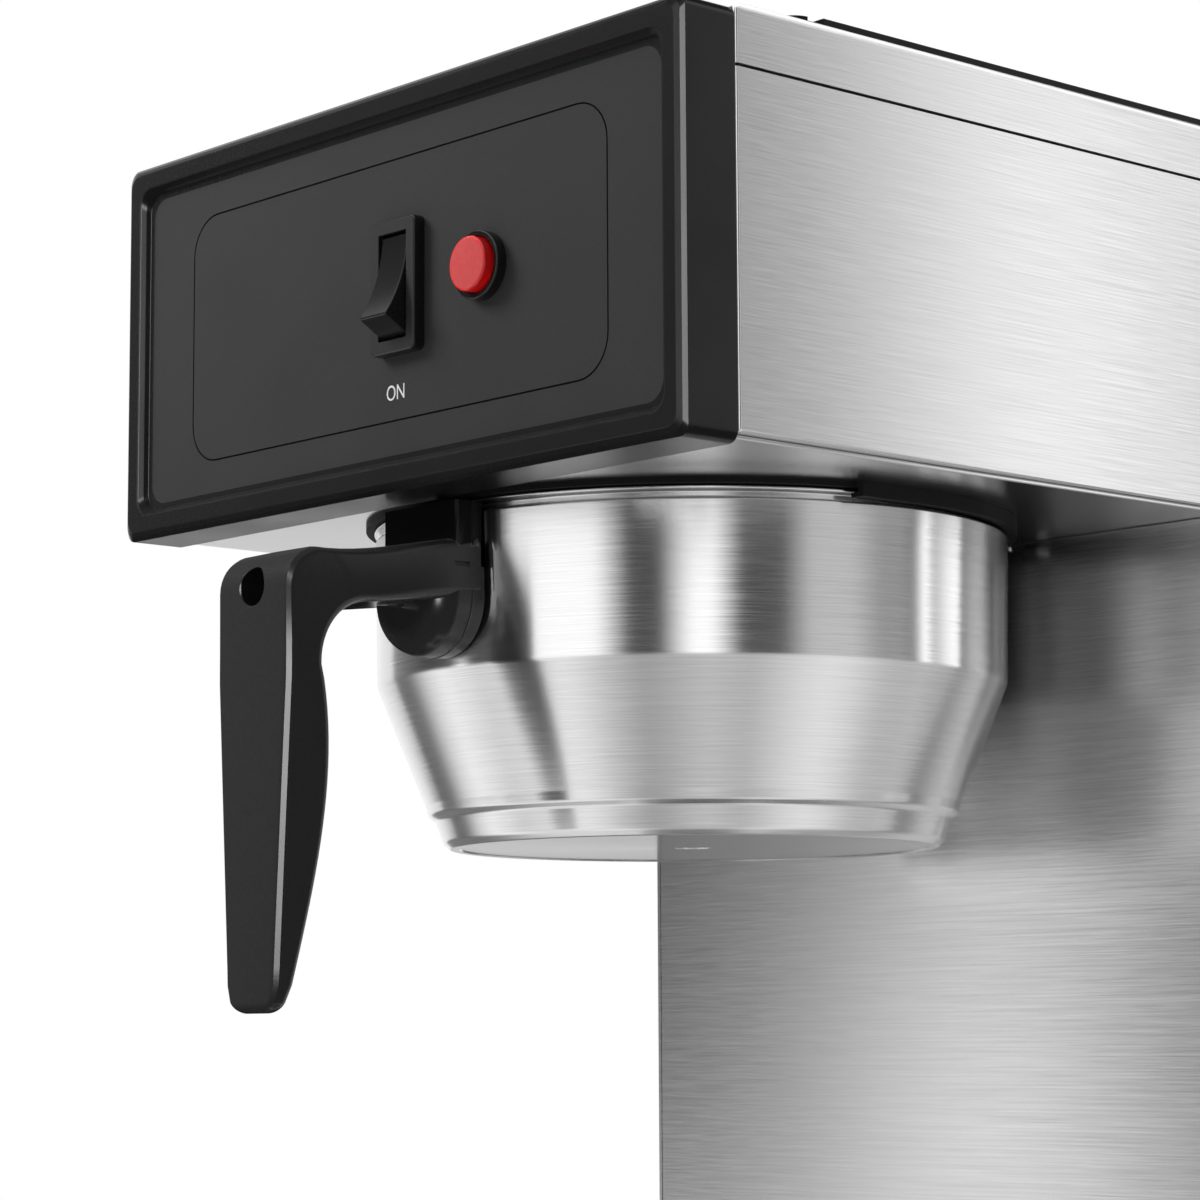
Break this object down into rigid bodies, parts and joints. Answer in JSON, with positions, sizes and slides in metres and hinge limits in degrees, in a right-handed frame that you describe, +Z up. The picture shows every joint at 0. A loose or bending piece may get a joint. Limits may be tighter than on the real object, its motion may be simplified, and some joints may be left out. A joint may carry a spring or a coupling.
{
  "type": "airpot coffee brewer",
  "caption": "Tall pour-over coffee brewer with a steel body, a black control bezel, a slide-out brew funnel with a drop handle, and a bay for an airpot.",
  "frame": {"origin": "on the counter, midway between the sides and midway between the handle's front and the rear edge", "axes": "+X to the right seen from the front, +Y to the back, +Z up"},
  "size_m": [0.23, 0.432, 0.6272],
  "materials": {
    "brushed_sheet": "fine horizontal grain",
    "funnel_steel": "grain running round the wall",
    "plain_steel": "plain mill finish",
    "screw_steel": "bright zinc",
    "bezel_plastic": "satin black moulding",
    "panel_plastic": "fine matt black",
    "handle_plastic": "satin black moulding",
    "switch_plastic": "half gloss black",
    "lid_plastic": "satin black moulding",
    "red_lens": "translucent red",
    "rubber": "matt black",
    "white_plastic": "food grade, natural",
    "silicone": "clear silicone",
    "brass": "plain",
    "board": "green board",
    "board_parts": "black parts"
  },
  "bodies": {
    "brewer_body": {"base_shell": "brushed_sheet", "column_front": "brushed_sheet", "left_side": "brushed_sheet", "right_side": "brushed_sheet", "rear_cover": "brushed_sheet", "top_cover": "brushed_sheet", "underside_plate": "brushed_sheet", "base_plate": "plain_steel", "spray_head": "plain_steel", "hot_tank": "plain_steel", "tank_lid": "plain_steel", "tank_bracket": "plain_steel", "foot_screws": "screw_steel", "rear_screws": "screw_steel", "bezel_screws": "screw_steel", "guide_screws": "screw_steel", "tank_screws": "screw_steel", "inlet_screws": "screw_steel", "rocker_pin": "screw_steel", "power_pin": "screw_steel", "lid_pin": "screw_steel", "lamp_nut": "screw_steel", "front_bezel": "bezel_plastic", "control_panel": "panel_plastic", "switch_housing": "switch_plastic", "lamp_ring": "switch_plastic", "power_housing": "switch_plastic", "power_inlet": "switch_plastic", "basin_frame": "lid_plastic", "funnel_guide": "lid_plastic", "limit_thermostat": "lid_plastic", "lamp_lens": "red_lens", "rubber_feet": "rubber", "airpot_mat": "rubber", "tank_gasket": "rubber", "water_basin": "white_plastic", "basin_valve": "white_plastic", "terminal_block": "white_plastic", "fill_tube": "silicone", "spray_tube": "silicone", "spray_nut": "brass", "valve_coil": "brass", "heating_element": "brass", "thermostat_probe": "brass", "board_standoffs": "brass", "control_board": "board", "board_parts": "board_parts"},
    "funnel": {"brew_funnel": "funnel_steel", "wire_rack": "plain_steel", "funnel_handle": "handle_plastic", "handle_screw": "screw_steel", "handle_nut": "screw_steel"},
    "start_button": {"start_rocker": "switch_plastic"},
    "lid": {"top_lid": "lid_plastic"},
    "power_button": {"power_rocker": "switch_plastic"}
  },
  "joints": [
    {"name": "funnel_slide", "type": "slide", "parent": "brewer_body", "child": "funnel", "axis": [0, -1, 0], "range_m": [0, 0.21]},
    {"name": "start_press", "type": "hinge", "parent": "brewer_body", "child": "start_button", "pos_m": [0.0067, -0.173, 0.5655], "axis": [1, 0, 0], "range_deg": [0, 14], "stiffness_Nm_per_rad": 0.12},
    {"name": "lid_hinge", "type": "hinge", "parent": "brewer_body", "child": "lid", "pos_m": [0, 0.059, 0.6236], "axis": [-1, 0, 0], "range_deg": [0, 100]},
    {"name": "power_press", "type": "hinge", "parent": "brewer_body", "child": "power_button", "pos_m": [0.02, 0.211, 0.122], "axis": [-1, 0, 0], "range_deg": [0, 18]}
  ]
}
